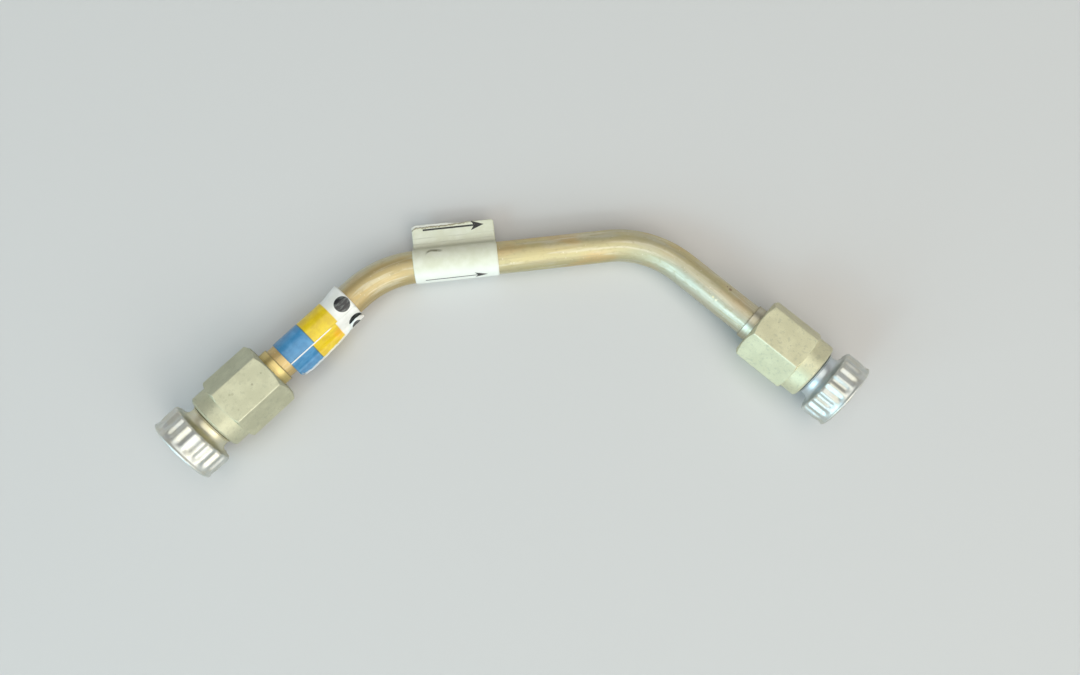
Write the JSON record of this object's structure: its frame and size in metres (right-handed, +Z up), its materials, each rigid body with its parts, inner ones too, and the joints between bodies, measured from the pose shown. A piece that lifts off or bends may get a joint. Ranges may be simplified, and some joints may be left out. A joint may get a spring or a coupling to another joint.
{
  "type": "bent tube assembly",
  "caption": "Short rigid hydraulic tube with bends in one plane, a swivel nut and fluted protective plug at each end, a colour-coded band and a folded flow-arrow flag.",
  "frame": {"origin": "centre of the assembly's footprint, on the surface it lies on", "axes": "+X from the banded end to the other end, +Y towards the middle stretch of the tube, +Z up"},
  "size_m": [0.1976, 0.0686, 0.0224],
  "materials": {
    "tube_aluminium": "satin pale gold conversion coat",
    "sleeve_aluminium": "satin gold conversion coat",
    "nut_aluminium": "matt pale grey-green anodised, faintly pitted",
    "plug_aluminium": "bright bare metal",
    "band_film": "blue, yellow and white under clear laminate",
    "flag_paper": "off-white coated paper, satin"
  },
  "bodies": {
    "tube_and_sleeves": {"tube": "tube_aluminium", "sleeve_left": "sleeve_aluminium", "sleeve_right": "sleeve_aluminium", "identification_band": "band_film", "flow_flag": "flag_paper"},
    "left_nut": {"coupling_nut_left": "nut_aluminium"},
    "left_plug": {"protective_plug_left": "plug_aluminium"},
    "right_nut": {"coupling_nut_right": "nut_aluminium"},
    "right_plug": {"protective_plug_right": "plug_aluminium"}
  },
  "joints": [
    {"name": "left_nut_swivel", "type": "hinge", "parent": "tube_and_sleeves", "child": "left_nut", "pos_m": [-0.07864, -0.0144, 0.01062], "axis": [-0.7613, -0.6414, 0.0944], "continuous": true},
    {"name": "left_plug_draw", "type": "slide", "parent": "left_nut", "child": "left_plug", "axis": [-0.7613, -0.6414, 0.0944], "range_m": [0, 0.015]},
    {"name": "right_nut_swivel", "type": "hinge", "parent": "tube_and_sleeves", "child": "right_nut", "pos_m": [0.0792, -0.0144, 0.01017], "axis": [0.6886, -0.7181, 0.1013], "continuous": true},
    {"name": "right_plug_draw", "type": "slide", "parent": "right_nut", "child": "right_plug", "axis": [0.6886, -0.7181, 0.1013], "range_m": [0, 0.015]}
  ]
}
